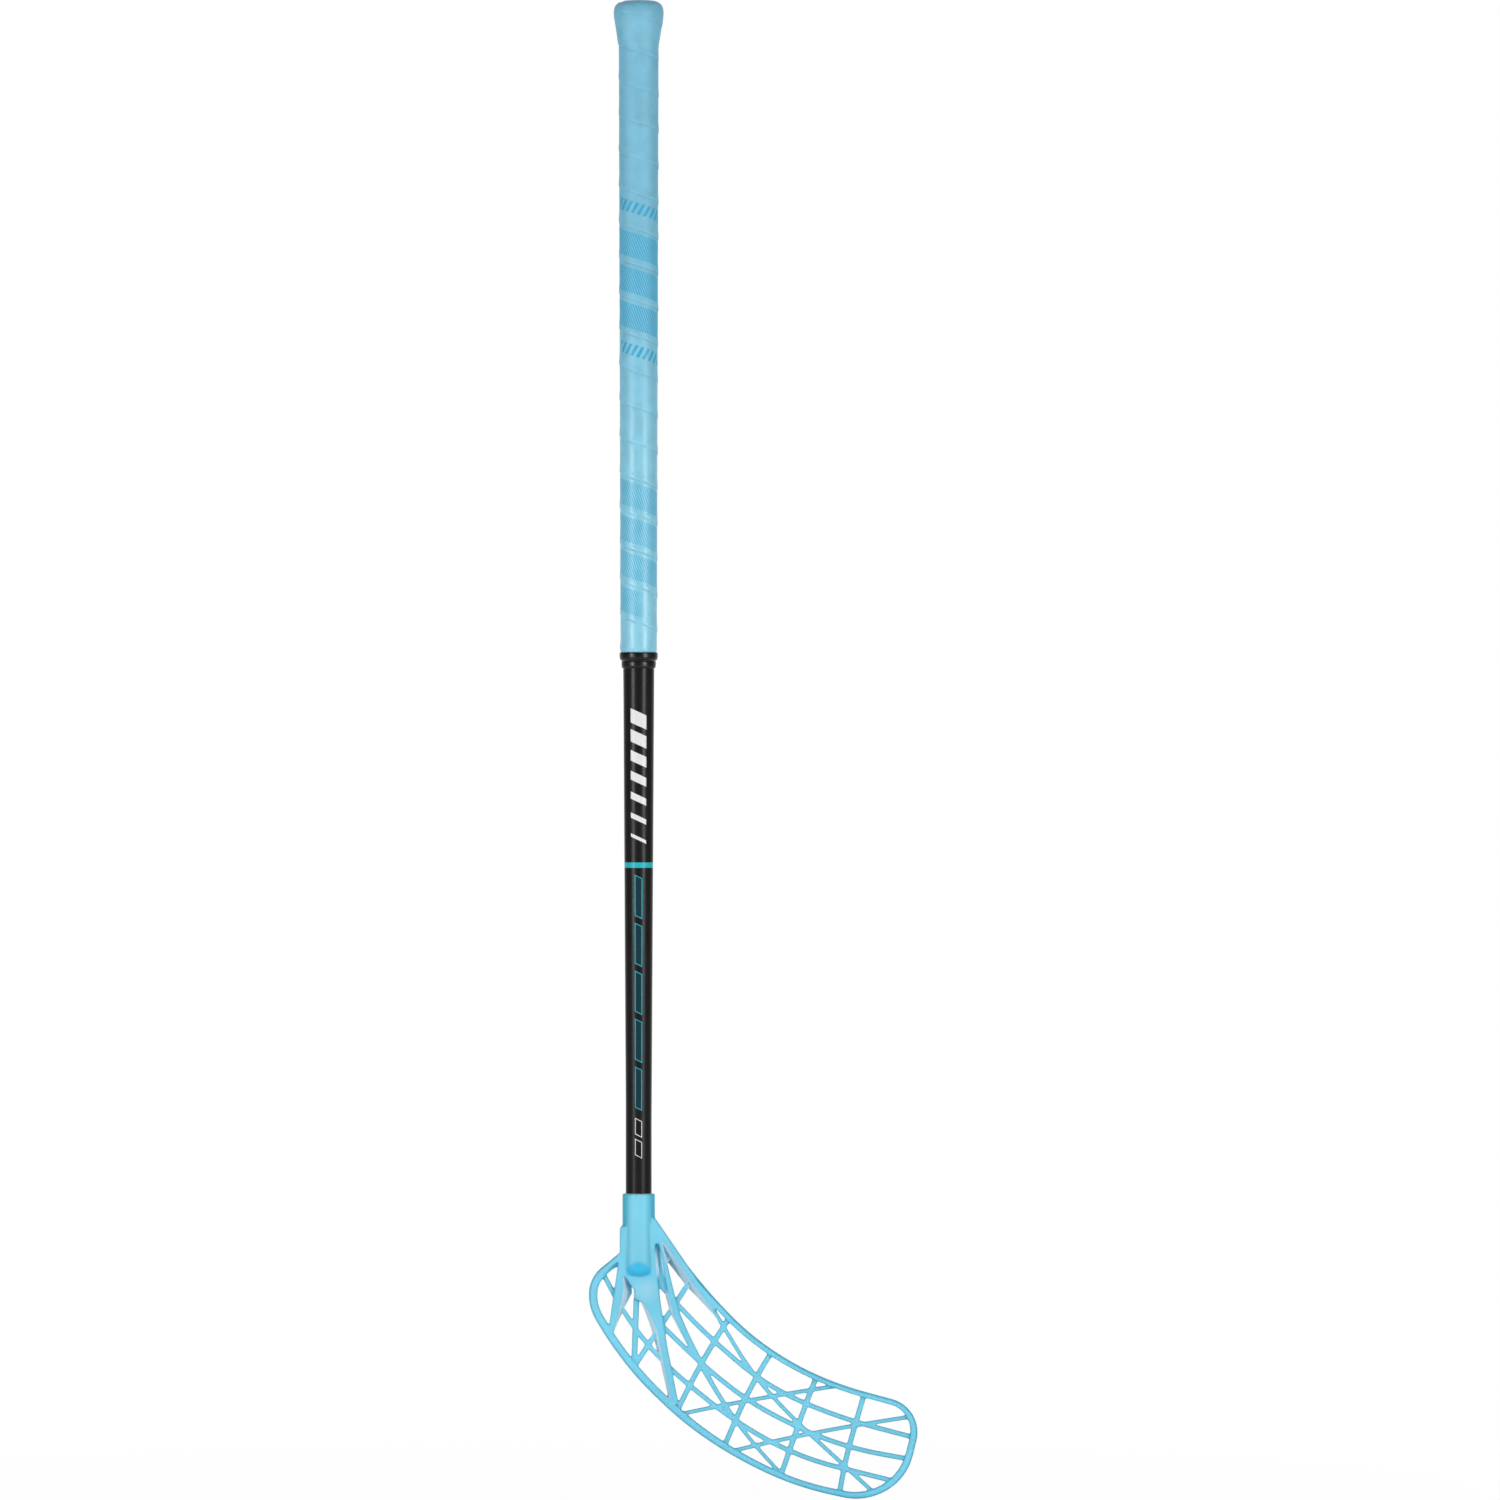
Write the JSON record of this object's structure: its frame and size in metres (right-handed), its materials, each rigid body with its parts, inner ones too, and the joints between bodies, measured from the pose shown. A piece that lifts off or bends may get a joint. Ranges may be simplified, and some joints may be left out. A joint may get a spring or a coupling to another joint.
{
  "type": "floorball stick",
  "caption": "Floorball stick: tapered hollow shaft with a flared butt knob, wound cushioned grip, sliding rubber collar and a screwed-on latticed blade with a hooked toe.",
  "frame": {"origin": "on the shaft axis at the butt end of the tube, just under the knob's head, where the wound grip starts", "axes": "+Z along the shaft towards the butt, +X towards the blade's toe, -Y out of the forehand face of the blade"},
  "size_m": [0.2495, 0.0397, 1.1376],
  "materials": {
    "shaft_composite": "satin black lacquer on fibre composite",
    "knob_plastic": "matt black moulding",
    "grip_cushion": "soft light blue cushioned strip",
    "finishing_tape": "thin black adhesive tape",
    "collar_rubber": "smooth black rubber",
    "blade_plastic": "satin light blue polypropylene, slightly translucent",
    "hot_melt": "pale hot-melt adhesive",
    "screw_steel": "zinc-plated steel"
  },
  "bodies": {
    "stick": {"shaft_tube": "shaft_composite", "butt_knob": "knob_plastic", "grip_tape": "grip_cushion", "grip_end_tape": "finishing_tape", "blade": "blade_plastic", "blade_adhesive": "hot_melt", "blade_screws": "screw_steel"},
    "collar": {"grip_collar": "collar_rubber"}
  },
  "joints": [
    {"name": "collar_slide", "type": "slide", "parent": "stick", "child": "collar", "axis": [0, 0, -1], "range_m": [0, 0.06]}
  ]
}
